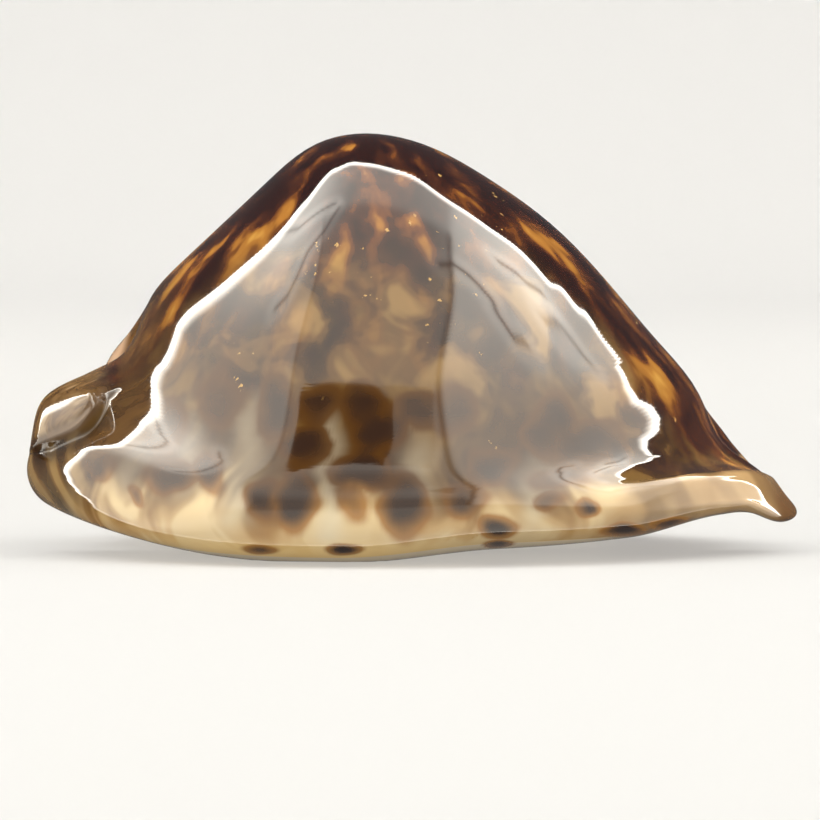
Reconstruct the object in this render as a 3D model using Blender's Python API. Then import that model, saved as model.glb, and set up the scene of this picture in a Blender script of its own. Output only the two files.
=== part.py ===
"""Humped cowrie shell, modelled as one closed solid.

The shell is a stack of growth contours, each a closed ring around it. The stack starts at
the top of the hump, runs down over the back and the thick margins, in under the base to
the toothed slit, and on up the inside to the roof of the hollow.

Lengths are millimetres until the mesh is made. +X points to the front beak, -Y is the
outer-lip side and +Z is up. The origin is on the ground below the middle of the shell.
"""

import math

import bmesh
import bpy
import numpy as np

MM = 0.001

# Driving dimensions
HUMP_X = -3.7
HUMP_HEIGHT = 32.6
ROOF_HEIGHT = 30.0
NOTCH_HALF_WIDTH = 1.5
LIP_TOOTH_PITCH = 2.15
INNER_TOOTH_PITCH = 2.4
TOOTH_HEIGHT = 0.34
EAR_CENTRE = (-28.4, 14.15)
EAR_RADIUS = 5.1
EAR_TANGENT = (-0.894, -0.447)
EAR_STEPS = (0.20, 0.30)
CHANNEL_DEPTH = 0.6
CHANNEL_WIDTH = 3.8
EAR_FORWARD = 4.5
FLANGE_HEIGHT = 0.75
CALLUS_CENTRE = (-23.3, 4.6, 14.8)
CALLUS_RADIUS = 2.2
CALLUS_HEIGHT = 1.3
REST_CUT = 0.25

# Mesh density
RING_POINTS = 320
EAR_TURN = 150.0
ROWS_PER_CONTOUR = 5
KEPT_TRIANGLES = 9400


def contour(name, front, back, lip, inner, **more):
    """One growth contour.

    front and back are (x, z) where it crosses the middle plane, in the notch of each beak.
    lip and inner are (half width, z) at its widest, on the outer-lip and columella sides.
    slit is 0 for a contour centred on the hump and 1 for one centred on the slit.
    taper is how much it narrows toward the front and the back beak, and power is how late
    it does so toward the front.
    low is how much of the base's rise toward the front it takes.
    front_lip, front_inner, back_lip and back_inner are the (x, z) of the lobe on that side
    of the notch. Without one, the contour has no notch there.
    """
    shape = {"name": name, "front": front, "back": back, "lip": lip, "inner": inner}
    shape["front_lip"] = shape["front_inner"] = front
    shape["back_lip"] = shape["back_inner"] = back
    shape.update({"slit": 0.0, "low": 0.0, "taper": (0.22, 0.10), "power": 7})
    shape.update(more)
    return shape


def point_contour(name, height):
    """A contour that has shrunk to a point on the hump's line."""
    spot = (HUMP_X, height)
    return contour(name, spot, spot, (0.0, height), (0.0, height))


def back_contours():
    return [
        point_contour("hump top", HUMP_HEIGHT),
        contour("crown", (0.6, 31.8), (-7.6, 31.8), (3.6, 31.6), (3.6, 31.6)),
        contour("hump", (5.6, 29.2), (-11.4, 28.9), (7.6, 28.7), (7.6, 28.7)),
        contour("hump shoulder", (10.6, 25.6), (-14.8, 25.7), (11.0, 24.8), (11.2, 24.8)),
        contour("upper back", (15.0, 21.1), (-17.9, 22.8), (13.8, 20.2), (14.1, 20.2)),
        contour(
            "middle back", (18.9, 16.5), (-20.5, 19.9), (16.0, 15.4), (16.4, 15.4),
            taper=(0.30, 0.12), back_lip=(-20.7, 19.2), back_inner=(-20.7, 19.6),
        ),
        contour(
            "lower back", (22.2, 12.3), (-21.5, 16.9), (17.7, 10.8), (18.1, 10.8),
            taper=(0.42, 0.16), back_lip=(-23.0, 15.4), back_inner=(-22.9, 16.4),
        ),
        contour(
            "valley", (23.7, 9.0), (-22.4, 14.7), (18.8, 7.6), (19.1, 7.6), low=0.1,
            taper=(0.46, 0.18), front_lip=(24.8, 7.4), front_inner=(24.9, 9.2),
            back_lip=(-25.9, 14.3), back_inner=(-24.4, 14.1),
        ),
    ]


def margin_contours():
    return [
        contour(
            "upper margin", (25.0, 7.6), (-23.8, 13.4), (19.2, 6.0), (19.5, 6.0), low=0.3,
            taper=(0.22, 0.12), power=5, front_lip=(27.8, 5.8), front_inner=(26.0, 7.2),
            back_lip=(-29.2, 12.0), back_inner=(-27.0, 11.6),
        ),
        contour(
            "margin groove", (25.8, 6.8), (-24.8, 12.5), (19.5, 4.8), (19.8, 4.8), low=0.5,
            taper=(0.20, 0.08), power=5, front_lip=(29.3, 4.5), front_inner=(27.5, 5.5),
            back_lip=(-29.8, 9.5), back_inner=(-28.0, 9.4),
        ),
        contour(
            "margin edge", (26.3, 6.2), (-25.3, 11.7), (19.5, 3.6), (19.8, 3.7), low=0.7,
            taper=(0.20, 0.06), power=5, front_lip=(30.3, 3.4), front_inner=(28.4, 4.5),
            back_lip=(-30.5, 7.0), back_inner=(-28.4, 7.6),
        ),
        contour(
            "under margin", (26.5, 5.7), (-25.4, 11.1), (18.8, 2.1), (19.1, 2.0), low=0.9,
            taper=(0.20, 0.08), power=5, front_lip=(30.0, 2.7), front_inner=(28.2, 3.7),
            back_lip=(-29.9, 4.8), back_inner=(-27.7, 5.4),
        ),
    ]


def base_contours():
    return [
        contour(
            "outer base", (26.4, 5.2), (-25.2, 10.6), (16.2, 0.7), (16.6, 0.6), low=1.0,
            front_lip=(28.5, 2.5), front_inner=(27.6, 3.3),
            back_lip=(-28.0, 3.8), back_inner=(-26.6, 4.5),
        ),
        contour(
            "base", (26.1, 4.9), (-24.9, 10.3), (10.6, 0.0), (11.6, 0.0), slit=0.6, low=0.9,
            front_lip=(27.4, 3.2), front_inner=(26.9, 3.5),
            back_lip=(-26.6, 4.6), back_inner=(-25.7, 4.8),
        ),
        contour(
            "slit side", (25.7, 4.7), (-24.5, 10.1), (5.6, 0.1), (5.4, 0.1), slit=1.0, low=0.8,
            front_lip=(26.4, 3.9), front_inner=(26.1, 4.1),
            back_lip=(-25.8, 6.0), back_inner=(-25.2, 6.0),
        ),
        contour("lip crest", (25.2, 4.8), (-24.2, 10.0), (2.7, 0.6), (2.5, 0.6), slit=1.0, low=0.8),
        contour("lip wall", (24.4, 5.2), (-23.6, 10.1), (1.6, 1.9), (1.35, 1.9), slit=1.0, low=0.7),
        contour("throat", (23.4, 5.8), (-22.8, 10.4), (1.4, 3.6), (1.2, 3.6), slit=1.0, low=0.6),
    ]


def hollow_contours():
    return [
        contour("throat top", (22.2, 6.6), (-21.8, 11.0), (2.6, 5.3), (1.8, 5.4), slit=1.0, low=0.5),
        contour("floor", (21.0, 8.0), (-20.8, 12.2), (8.0, 6.2), (4.8, 7.2), slit=0.7, low=0.3),
        contour("low wall", (20.0, 9.8), (-20.0, 13.8), (14.4, 8.2), (12.4, 10.4), slit=0.2),
        contour("side wall", (18.6, 12.8), (-19.0, 16.2), (15.2, 12.2), (15.2, 13.2)),
        contour("high wall", (15.8, 16.9), (-17.4, 19.0), (13.4, 17.4), (13.6, 17.5)),
        contour("vault", (11.8, 21.2), (-14.8, 22.6), (10.4, 22.2), (10.5, 22.2)),
        contour("upper vault", (6.9, 25.3), (-11.2, 26.0), (6.8, 26.3), (6.8, 26.3)),
        contour("roof", (1.6, 28.6), (-7.5, 28.9), (3.2, 29.1), (3.2, 29.1)),
        point_contour("roof top", ROOF_HEIGHT),
    ]


def smooth_step(low, high, value):
    share = np.clip((value - low) / (high - low), 0, 1)
    return share * share * (3 - 2 * share)


def slit_line(x):
    """Sideways place of the slit's middle: nearest the outer lip below the hump."""
    toward_back = np.clip((x + 4.0) / -22.0, 0.0, None)
    toward_front = np.clip((x + 4.0) / 30.0, 0.0, None)
    return -2.3 + 3.4 * toward_back**2 + 1.6 * toward_front**2


def base_rise(x, on_lip):
    """How far the base lifts off the ground toward the front, more on the outer-lip side."""
    lip = 1.0 * smooth_step(-5.5, 6.5, x) + 0.75 * smooth_step(16.5, 23.5, x)
    inner = 0.8 * smooth_step(10.0, 22.0, x)
    beak = 1 - smooth_step(25.2, 28.8, x)
    return (inner + on_lip * (lip - inner)) * beak


def ring(shape, angles):
    """The points of one contour. Angle 0 is the front and 90 degrees the outer-lip side."""
    ahead = np.cos(angles)
    aside = np.sin(angles)
    endness = np.abs(ahead)
    on_lip = 0.5 + 0.5 * np.sin(aside * math.pi / 2)
    in_front = 0.5 + 0.5 * np.sin(ahead * math.pi / 2)

    def across(lip, inner):
        return inner + on_lip * (lip - inner)

    narrowed = 1 - shape["taper"][0] * np.clip(ahead, 0, None) ** shape["power"]
    narrowed -= shape["taper"][1] * np.clip(-ahead, 0, None) ** 3
    offset = aside * across(shape["lip"][0], shape["inner"][0]) * narrowed
    in_notch = np.exp(-((offset / NOTCH_HALF_WIDTH) ** 2))
    side_z = across(shape["lip"][1], shape["inner"][1])

    x = np.full_like(angles, HUMP_X)
    z = side_z.copy()
    for key, share, here in (
        ("front", in_front, ahead > 0),
        ("back", in_front - 1, ahead <= 0),
    ):
        lip_lobe, inner_lobe = shape[key + "_lip"], shape[key + "_inner"]
        lobe_x = np.where(aside > 0, lip_lobe[0], inner_lobe[0])
        lobe_z = np.where(aside > 0, lip_lobe[1], inner_lobe[1])
        end_x = lobe_x + (shape[key][0] - lobe_x) * in_notch
        x += share * (end_x - HUMP_X) * ahead
        z += here * (lobe_z - side_z) * endness**3
        z += here * (shape[key][1] - lobe_z) * in_notch * endness**8
    z += shape["low"] * base_rise(x, on_lip) * (1 - in_notch * endness**8)
    y = shape["slit"] * slit_line(x) - offset
    return np.stack([x, y, z], axis=1)


def spline_weights(knots, places):
    """Weights that turn values at the knots into a natural cubic spline's values at places."""
    count = len(knots)
    gaps = np.diff(knots)
    left, right = np.eye(count), np.zeros((count, count))
    for i in range(1, count - 1):
        left[i, i - 1 : i + 2] = gaps[i - 1], 2 * (gaps[i - 1] + gaps[i]), gaps[i]
        right[i, i - 1 : i + 2] = (
            6 / gaps[i - 1],
            -6 / gaps[i - 1] - 6 / gaps[i],
            6 / gaps[i],
        )
    bends = np.linalg.solve(left, right)
    span = np.clip(np.searchsorted(knots, places, side="right") - 1, 0, count - 2)
    gap = gaps[span]
    after = (places - knots[span]) / gap
    before = 1 - after
    values = np.zeros((len(places), count))
    rows = np.arange(len(places))
    values[rows, span] = before
    values[rows, span + 1] = after
    values += ((before**3 - before) * gap**2 / 6)[:, None] * bends[span]
    values += ((after**3 - after) * gap**2 / 6)[:, None] * bends[span + 1]
    return values


def ring_angles(ring_points):
    """Angles of the points of a ring, closest together at the ear."""
    turn = np.linspace(-180.0, 180.0, 1441)
    closeness = 1 + 2.2 * np.exp(-(((turn - EAR_TURN) / 17.0) ** 2))
    closeness += 2.2 * np.exp(-(((turn + 360.0 - EAR_TURN) / 17.0) ** 2))
    so_far = np.concatenate([[0.0], np.cumsum((closeness[1:] + closeness[:-1]) / 2)])
    wanted = np.arange(ring_points) * so_far[-1] / ring_points
    return np.radians(np.interp(wanted, so_far, turn))


def shell_grid(shapes, angles, levels):
    """Rows of ring points at the given contour numbers, from the hump top to the roof top."""
    rings = np.stack([ring(shape, angles) for shape in shapes])
    # The rings next to each pole go on past it, on the far side, so the poles stay smooth.
    beyond_top = np.stack([ring(shape, angles + math.pi) for shape in shapes[2:0:-1]])
    beyond_roof = np.stack([ring(shape, angles + math.pi) for shape in shapes[-2:-4:-1]])
    keys = np.concatenate([beyond_top, rings, beyond_roof])
    steps = np.linalg.norm(np.diff(keys, axis=0), axis=2).mean(axis=1)
    knots = np.concatenate([[0.0], np.cumsum(steps)])
    places = np.interp(levels + 2, np.arange(len(keys)), knots)
    weights = spline_weights(knots, places)
    return np.einsum("rk,kpc->rpc", weights, keys)


def grid_normals(grid):
    along = np.roll(grid, -1, axis=1) - np.roll(grid, 1, axis=1)
    down = np.gradient(grid, axis=0)
    normals = np.cross(along, down)
    return normals / np.maximum(np.linalg.norm(normals, axis=2, keepdims=True), 1e-9)


def inside_ear(x, z):
    """Distance in from the ear's lower edge, an arc that runs on straight toward the back."""
    from_x, from_z = x - EAR_CENTRE[0], z - EAR_CENTRE[1]
    along = from_x * EAR_TANGENT[0] + from_z * EAR_TANGENT[1]
    straight = from_z * EAR_TANGENT[0] - from_x * EAR_TANGENT[1]
    return EAR_RADIUS - np.where(along > 0, straight, np.hypot(from_x, from_z))


def flatten_ear(grid):
    """Brings the back lobe on the outer-lip side forward to a nearly flat, tilted face."""
    x, y, z = grid[:, :, 0], grid[:, :, 1], grid[:, :, 2]
    face = -9.4 - 0.8 * (x + 26.0) + 0.55 * (z - 9.6) + 0.14 * np.clip(z - 12.0, 0, None) ** 2
    behind = y - face
    forward = 0.5 * (behind + np.sqrt(behind**2 + 0.1))
    forward = EAR_FORWARD * np.tanh(forward / EAR_FORWARD)
    share = (1 - smooth_step(-2.4, -0.8, y)) * (1 - smooth_step(-23.8, -22.8, x))
    share *= 1 - smooth_step(13.8, 15.4, z + 0.20 * (x + 26.0))
    share *= smooth_step(-0.1, 0.6 + 2.0 * smooth_step(11.5, 14.0, z), inside_ear(x, z))
    moved = grid.copy()
    moved[:, :, 1] -= forward * share
    return moved


def raise_ear(grid):
    """Shapes the ear, the upturned lobe of the outer lip beside the back notch.

    Its lower edge is two low steps, and a channel runs along below them.
    """
    x, y, z = grid[:, :, 0], grid[:, :, 1], grid[:, :, 2]
    inside = inside_ear(x, z)
    here = (1 - smooth_step(-2.2, -0.8, y)) * smooth_step(-30.0, -28.4, x)
    height = EAR_STEPS[0] * smooth_step(0.0, 0.4, inside)
    height += EAR_STEPS[1] * smooth_step(0.6, 1.0, inside) * (1 - smooth_step(1.2, 3.6, inside))
    height *= (1 - smooth_step(12.2, 14.2, z)) * smooth_step(7.6, 8.8, z)
    channel = np.clip(1 + inside / CHANNEL_WIDTH, 0, 1) ** 2 * (1 - smooth_step(0.0, 0.4, inside))
    channel *= (1 - smooth_step(10.4, 13.2, z)) * smooth_step(6.0, 9.4, z)
    height -= CHANNEL_DEPTH * channel
    flat = flatten_ear(grid)
    return flat + grid_normals(grid) * (height * here)[:, :, None]


def raise_flange(grid, levels):
    """Sharpens the top edge of the front beak's flange on the outer-lip side."""
    x, y = grid[:, :, 0], grid[:, :, 1]
    level = levels[:, None] - 0.4 * smooth_step(26.0, 29.5, x)
    above = smooth_step(7.75, 8.15, level) * (1 - smooth_step(8.2, 9.9, level))
    here = smooth_step(14.5, 21.0, x) * (1 - 0.6 * smooth_step(25.5, 29.0, x))
    here *= 1 - smooth_step(-3.5, -2.0, y)
    return grid + grid_normals(grid) * (FLANGE_HEIGHT * above * here)[:, :, None]


def raise_callus(grid):
    """Swells the callus that covers the spire, on the columella side of the back notch."""
    away = np.linalg.norm(grid - np.array(CALLUS_CENTRE), axis=2)
    height = CALLUS_HEIGHT * np.exp(-((away / CALLUS_RADIUS) ** 2))
    return grid + grid_normals(grid) * height[:, :, None]


def add_teeth(grid, angles, levels, shapes):
    """Raises the teeth, rounded ridges that run from the base over each lip into the slit."""
    names = [shape["name"] for shape in shapes]
    crest, throat = names.index("lip crest"), names.index("throat")
    normals = grid_normals(grid)
    on_lip = (np.sin(angles) > 0)[None, :]
    x = grid[:, :, 0]
    pitch = np.where(on_lip, LIP_TOOTH_PITCH, INNER_TOOTH_PITCH)
    ridge = (0.5 + 0.5 * np.cos(2 * math.pi * x / pitch)) ** 0.8
    starts = np.where(on_lip, crest - 0.8, crest - 0.35)
    level = levels[:, None]
    across = smooth_step(starts, crest, level) * (1 - smooth_step(throat - 0.5, throat + 0.4, level))
    along = smooth_step(-23.5, -20.0, x) * (1 - smooth_step(21.5, 24.5, x))
    height = TOOTH_HEIGHT * across * along * (ridge - 0.4)
    return grid + normals * height[:, :, None]


def grid_mesh(name, grid):
    """A closed mesh from the rows. The first and last rows have shrunk to points."""
    rows, count = grid.shape[:2]
    inner = grid[1:-1].reshape(-1, 3)
    points = np.concatenate([grid[0, :1], inner, grid[-1, :1]]) * MM
    last = len(points) - 1
    faces = []
    for p in range(count):
        q = (p + 1) % count
        faces.append((0, 1 + q, 1 + p))
        faces.append((last, last - count + p, last - count + q))
        for r in range(rows - 3):
            a, b = 1 + r * count, 1 + (r + 1) * count
            faces.append((a + p, a + q, b + q, b + p))
    mesh = bpy.data.meshes.new(name)
    mesh.from_pydata(points.tolist(), [], faces)
    mesh.update()
    return mesh


def shell_material():
    material = bpy.data.materials.new("glossy shell")
    material.use_nodes = True
    shader = material.node_tree.nodes["Principled BSDF"]
    shader.inputs["Base Color"].default_value = (0.30, 0.14, 0.05, 1.0)
    shader.inputs["Roughness"].default_value = 0.12
    shader.inputs["Metallic"].default_value = 0.0
    return material


def settle(grid):
    """Centres the shell over the origin, with the cut for its flat spot at the ground."""
    low, high = grid.min(axis=(0, 1)), grid.max(axis=(0, 1))
    return grid - np.array([(low[0] + high[0]) / 2, (low[1] + high[1]) / 2, low[2] + REST_CUT])


def box_below_ground(collection):
    """The cutter for the flat spot."""
    mesh = bpy.data.meshes.new("ground cutter")
    bm = bmesh.new()
    bmesh.ops.create_cube(bm, size=1.0)
    bmesh.ops.scale(bm, vec=(0.1, 0.1, 0.02), verts=bm.verts)
    bmesh.ops.translate(bm, vec=(0.0, 0.0, -0.01), verts=bm.verts)
    bm.to_mesh(mesh)
    bm.free()
    cutter = bpy.data.objects.new("ground cutter", mesh)
    collection.objects.link(cutter)
    cutter.hide_render = True
    cutter.display_type = "WIRE"
    return cutter


def add_collection(name):
    collection = bpy.data.collections.new(name)
    bpy.context.scene.collection.children.link(collection)
    return collection


def main():
    for old in list(bpy.data.objects):
        bpy.data.objects.remove(old)
    shapes = back_contours() + margin_contours() + base_contours() + hollow_contours()
    angles = ring_angles(RING_POINTS)
    levels = np.linspace(0, len(shapes) - 1, (len(shapes) - 1) * ROWS_PER_CONTOUR + 1)
    grid = shell_grid(shapes, angles, levels)
    grid = raise_flange(raise_ear(add_teeth(grid, angles, levels, shapes)), levels)
    grid = settle(raise_callus(grid))
    shell = bpy.data.objects.new("shell", grid_mesh("shell", grid))
    add_collection("cowrie shell").objects.link(shell)
    shell.data.materials.append(shell_material())
    shell.data.shade_smooth()
    thin = shell.modifiers.new("fewer faces", "DECIMATE")
    thin.ratio = KEPT_TRIANGLES / (2 * RING_POINTS * (len(levels) - 2))
    flat = shell.modifiers.new("flat spot", "BOOLEAN")
    flat.operation = "DIFFERENCE"
    flat.solver = "EXACT"
    flat.object = box_below_ground(add_collection("cutters"))


main()
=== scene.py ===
"""Fine model, materials, light and camera for the humped cowrie shell."""

import math

import bpy
import numpy as np
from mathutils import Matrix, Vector


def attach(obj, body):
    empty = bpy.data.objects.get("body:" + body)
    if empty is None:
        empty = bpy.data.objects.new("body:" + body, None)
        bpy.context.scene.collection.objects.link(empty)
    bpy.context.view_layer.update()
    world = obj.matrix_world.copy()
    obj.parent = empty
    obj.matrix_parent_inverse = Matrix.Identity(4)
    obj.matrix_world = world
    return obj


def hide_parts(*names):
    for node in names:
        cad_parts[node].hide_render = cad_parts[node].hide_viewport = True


MM = 0.001

# Shape, in millimetres, as the solid has it
HUMP_X = -3.7
HUMP_HEIGHT = 32.6
ROOF_HEIGHT = 30.0
NOTCH_HALF_WIDTH = 1.5
LIP_TOOTH_PITCH = 2.15
INNER_TOOTH_PITCH = 2.4
TOOTH_HEIGHT = 0.34
EAR_CENTRE = (-28.4, 14.15)
EAR_RADIUS = 5.1
EAR_TANGENT = (-0.894, -0.447)
EAR_STEPS = (0.20, 0.30)
CHANNEL_DEPTH = 0.6
CHANNEL_WIDTH = 3.8
EAR_FORWARD = 4.5
FLANGE_HEIGHT = 0.75
CALLUS_CENTRE = (-23.3, 4.6, 14.8)
CALLUS_RADIUS = 2.2
CALLUS_HEIGHT = 1.3
REST_CUT = 0.25

# Numbers of three contours, counted from the hump's top
UPPER_MARGIN = 8
OUTER_BASE = 12
BASE = 13

# Light tent, with lengths in metres and angles in degrees
TENT_RADIANCE = 2.4
TENT_COLOUR = (1.0, 0.965, 0.875, 1.0)
TENT_CENTRE = np.array([0.0, 0.0, 0.012])
TENT_RADIUS = 0.5
PATCH_RADIUS = 0.49
TENT_COLUMNS = 480
# Rows of the tent's mesh above the band at its hem and in it, and where that band starts
TENT_ROWS = (130, 40)
HEM_BAND = 0.88
# The tent's hem, degrees from its middle, against the turn round the camera's direction
TENT_EDGE = (
    (-180, 97), (-165, 96), (-140, 106), (-115, 108), (-95, 106), (-78, 110), (-60, 108),
    (-40, 108), (0, 112), (14, 115), (22, 108), (26, 102.5), (31, 103), (36, 107), (37, 113),
    (38.5, 108.5), (41, 109.5), (42, 107.5), (43, 104.5), (50, 104), (56, 102.5), (64, 102.5),
    (91, 107), (109, 108), (115, 105), (120, 101.8), (127, 101.2), (133, 102.2), (139, 104.5),
    (147, 109), (152, 111.5), (155, 110), (166, 101), (180, 97),
)
# The gap in the tent for the camera and a shaded fold beside it, as (azimuth, elevation) points
LENS_GAP = (
    (-8.5, 37.0), (-17.6, 36.9), (-24.0, 36.45), (-29.0, 36.0), (-31.0, 35.2), (-24.0, 30.8),
    (-10.3, 29.8), (-1.7, 29.8), (4.0, 29.8), (5.0, 31.2), (8.8, 33.2), (10.4, 36.0),
    (7.0, 36.25), (4.7, 36.5), (2.3, 36.8), (-2.9, 37.0),
)
GAP_FOLD = (
    (4.0, 36.7), (14.2, 36.8), (20.8, 36.8), (21.5, 36.3), (18.5, 34.4), (15.5, 31.5),
    (9.0, 30.2), (4.0, 30.0),
)
LENS_GLOW = 0.01
FOLD_GLOW = 0.36
# Wrinkles in the tent's cloth, as (turn, angle from the middle), after how dark each is
TENT_WRINKLES = (
    (0.5, (104, 84), (111, 78), (119, 76), (123, 72), (127, 70), (131, 71.5)),
    (0.4, (106, 87), (123, 91), (130, 100), (137, 102)),
    (0.7, (66, 69), (63, 72), (59, 72.5), (53, 72), (52, 70), (48, 69), (46, 72)),
    (0.6, (53, 88), (49, 91), (47, 91.5), (44, 95)),
    (0.4, (43, 86), (41, 92), (38, 94)),
)
WRINKLE_WIDTH = 0.55
# The bright band beside a wrinkle: how far away and how wide it is, and how much it adds
BAND_AWAY = 2.4
BAND_WIDTH = 1.8
BAND_GAIN = 0.22
# The tent's two seams: distance from the middle, as a share of its radius, and darkness
LEFT_SEAM = (0.48, 0.45)
RIGHT_SEAM = (0.30, 0.75)
SEAM_WIDTH = 0.012
# How much the strip between the seams and the cloth's low part are dimmed
STRIP_DIMMED = 0.34
LOW_DIMMED = 0.55
# Brighter cloth near the hem and wider places of the hem itself, as (turn, spread, gain)
HEM_LIGHTS = ((122.0, 16.0, 1.8), (50.0, 14.0, 1.2))
HEM_WIDENINGS = ((142.0, 22.0, 4.5), (24.0, 8.0, 2.4))
HEM_WIDTH = 4.0
LOWER_HEM_WIDTH = 1.6

# Room and camera, with lengths in metres and angles in degrees
WORLD_RADIANCE = 0.12
WORLD_COLOUR = (0.93, 0.96, 1.0, 1.0)
FLOOR_NEAR = (0.235, 0.238, 0.245)
FLOOR_FAR = (0.56, 0.56, 0.565)
FLOOR_GLOW = 0.36
FLOOR_GLOW_COLOUR = (1.0, 0.98, 0.95, 1.0)
FLOOR_GAP = 0.00005
CAMERA_DISTANCE = 0.55
CAMERA_ELEVATION = 3.3
VIEW_WIDTH = 0.0640625
AIM_ACROSS = -0.00016
AIM_UP = 0.01075
SENSOR_WIDTH = 36.0

# Mesh density, with the points of a ring closest together round the ear
RING_POINTS = 600
EAR_TURN = 150.0
EAR_SPREAD = 17.0
EAR_GAIN = 2.2
ROWS = {"back": 5, "valley": 20, "margin": 13, "base": 6, "hollow": 2}


def contour(name, front, back, lip, inner, **more):
    """One growth contour.

    front and back are (x, z) where it crosses the middle plane, in the notch of each beak.
    lip and inner are (half width, z) at its widest, on the outer-lip and columella sides.
    slit is 0 for a contour centred on the hump and 1 for one centred on the slit.
    taper is how much it narrows toward the front and the back beak, and power is how late
    it does so toward the front.
    low is how much of the base's rise toward the front it takes.
    front_lip, front_inner, back_lip and back_inner are the (x, z) of the lobe on that side
    of the notch. Without one, the contour has no notch there.
    """
    shape = {"name": name, "front": front, "back": back, "lip": lip, "inner": inner}
    shape["front_lip"] = shape["front_inner"] = front
    shape["back_lip"] = shape["back_inner"] = back
    shape.update({"slit": 0.0, "low": 0.0, "taper": (0.22, 0.10), "power": 7})
    shape.update(more)
    return shape


def point_contour(name, height):
    """A contour that has shrunk to a point on the hump's line."""
    spot = (HUMP_X, height)
    return contour(name, spot, spot, (0.0, height), (0.0, height))


def back_contours():
    return [
        point_contour("hump top", HUMP_HEIGHT),
        contour("crown", (0.6, 31.8), (-7.6, 31.8), (3.6, 31.6), (3.6, 31.6)),
        contour("hump", (5.6, 29.2), (-11.4, 28.9), (7.6, 28.7), (7.6, 28.7)),
        contour("hump shoulder", (10.6, 25.6), (-14.8, 25.7), (11.0, 24.8), (11.2, 24.8)),
        contour("upper back", (15.0, 21.1), (-17.9, 22.8), (13.8, 20.2), (14.1, 20.2)),
        contour(
            "middle back", (18.9, 16.5), (-20.5, 19.9), (16.0, 15.4), (16.4, 15.4),
            taper=(0.30, 0.12), back_lip=(-20.7, 19.2), back_inner=(-20.7, 19.6),
        ),
        contour(
            "lower back", (22.2, 12.3), (-21.5, 16.9), (17.7, 10.8), (18.1, 10.8),
            taper=(0.42, 0.16), back_lip=(-23.0, 15.4), back_inner=(-22.9, 16.4),
        ),
        contour(
            "valley", (23.7, 9.0), (-22.4, 14.7), (18.8, 7.6), (19.1, 7.6), low=0.1,
            taper=(0.46, 0.18), front_lip=(24.8, 7.4), front_inner=(24.9, 9.2),
            back_lip=(-25.9, 14.3), back_inner=(-24.4, 14.1),
        ),
    ]


def margin_contours():
    return [
        contour(
            "upper margin", (25.0, 7.6), (-23.8, 13.4), (19.2, 6.0), (19.5, 6.0), low=0.3,
            taper=(0.22, 0.12), power=5, front_lip=(27.8, 5.8), front_inner=(26.0, 7.2),
            back_lip=(-29.2, 12.0), back_inner=(-27.0, 11.6),
        ),
        contour(
            "margin groove", (25.8, 6.8), (-24.8, 12.5), (19.5, 4.8), (19.8, 4.8), low=0.5,
            taper=(0.20, 0.08), power=5, front_lip=(29.3, 4.5), front_inner=(27.5, 5.5),
            back_lip=(-29.8, 9.5), back_inner=(-28.0, 9.4),
        ),
        contour(
            "margin edge", (26.3, 6.2), (-25.3, 11.7), (19.5, 3.6), (19.8, 3.7), low=0.7,
            taper=(0.20, 0.06), power=5, front_lip=(30.3, 3.4), front_inner=(28.4, 4.5),
            back_lip=(-30.5, 7.0), back_inner=(-28.4, 7.6),
        ),
        contour(
            "under margin", (26.5, 5.7), (-25.4, 11.1), (18.8, 2.1), (19.1, 2.0), low=0.9,
            taper=(0.20, 0.08), power=5, front_lip=(30.0, 2.7), front_inner=(28.2, 3.7),
            back_lip=(-29.9, 4.8), back_inner=(-27.7, 5.4),
        ),
    ]


def base_contours():
    return [
        contour(
            "outer base", (26.4, 5.2), (-25.2, 10.6), (16.2, 0.7), (16.6, 0.6), low=1.0,
            front_lip=(28.5, 2.5), front_inner=(27.6, 3.3),
            back_lip=(-28.0, 3.8), back_inner=(-26.6, 4.5),
        ),
        contour(
            "base", (26.1, 4.9), (-24.9, 10.3), (10.6, 0.0), (11.6, 0.0), slit=0.6, low=0.9,
            front_lip=(27.4, 3.2), front_inner=(26.9, 3.5),
            back_lip=(-26.6, 4.6), back_inner=(-25.7, 4.8),
        ),
        contour(
            "slit side", (25.7, 4.7), (-24.5, 10.1), (5.6, 0.1), (5.4, 0.1), slit=1.0, low=0.8,
            front_lip=(26.4, 3.9), front_inner=(26.1, 4.1),
            back_lip=(-25.8, 6.0), back_inner=(-25.2, 6.0),
        ),
        contour("lip crest", (25.2, 4.8), (-24.2, 10.0), (2.7, 0.6), (2.5, 0.6), slit=1.0, low=0.8),
        contour("lip wall", (24.4, 5.2), (-23.6, 10.1), (1.6, 1.9), (1.35, 1.9), slit=1.0, low=0.7),
        contour("throat", (23.4, 5.8), (-22.8, 10.4), (1.4, 3.6), (1.2, 3.6), slit=1.0, low=0.6),
    ]


def hollow_contours():
    return [
        contour(
            "throat top", (22.2, 6.6), (-21.8, 11.0), (2.6, 5.3), (1.8, 5.4), slit=1.0, low=0.5,
        ),
        contour("floor", (21.0, 8.0), (-20.8, 12.2), (8.0, 6.2), (4.8, 7.2), slit=0.7, low=0.3),
        contour("low wall", (20.0, 9.8), (-20.0, 13.8), (14.4, 8.2), (12.4, 10.4), slit=0.2),
        contour("side wall", (18.6, 12.8), (-19.0, 16.2), (15.2, 12.2), (15.2, 13.2)),
        contour("high wall", (15.8, 16.9), (-17.4, 19.0), (13.4, 17.4), (13.6, 17.5)),
        contour("vault", (11.8, 21.2), (-14.8, 22.6), (10.4, 22.2), (10.5, 22.2)),
        contour("upper vault", (6.9, 25.3), (-11.2, 26.0), (6.8, 26.3), (6.8, 26.3)),
        contour("roof", (1.6, 28.6), (-7.5, 28.9), (3.2, 29.1), (3.2, 29.1)),
        point_contour("roof top", ROOF_HEIGHT),
    ]


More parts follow.
